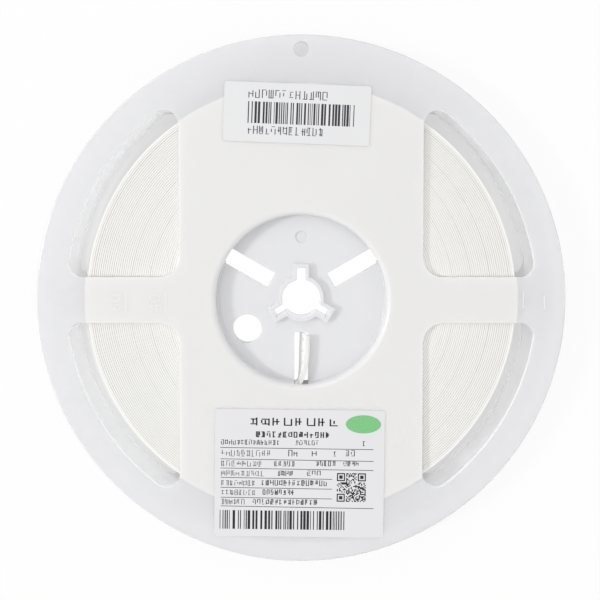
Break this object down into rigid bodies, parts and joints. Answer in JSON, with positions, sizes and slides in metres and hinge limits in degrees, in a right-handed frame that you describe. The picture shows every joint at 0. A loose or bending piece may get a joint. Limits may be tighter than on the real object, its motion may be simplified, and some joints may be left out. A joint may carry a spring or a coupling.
{
  "type": "smd tape reel",
  "caption": "Flat translucent plastic reel with windowed flanges and a recessed keyed hub, wound with narrow paper carrier tape, with two paper labels on its front.",
  "frame": {"origin": "centre of the rear flange's outer face, the face that the reel lies on", "axes": "+Z along the winding axis from the rear flange to the labelled front flange; +Y from the hub towards the small hole near the rim and the small label; +X to the right when the front is looked at"},
  "size_m": [0.178, 0.178, 0.0121],
  "materials": {
    "front_plastic": "milky translucent polystyrene, fine satin",
    "rear_plastic": "milky translucent polystyrene, fine satin",
    "tape_paper": "cut edges of punched carrier paper",
    "masking_paper": "creped adhesive paper",
    "small_label_paper": "smooth coated label stock",
    "large_label_paper": "smooth coated label stock"
  },
  "bodies": {
    "root": {"front_half": "front_plastic", "rear_half": "rear_plastic", "carrier_tape": "tape_paper", "end_strip": "masking_paper", "small_label": "small_label_paper", "large_label": "large_label_paper"}
  },
  "joints": []
}
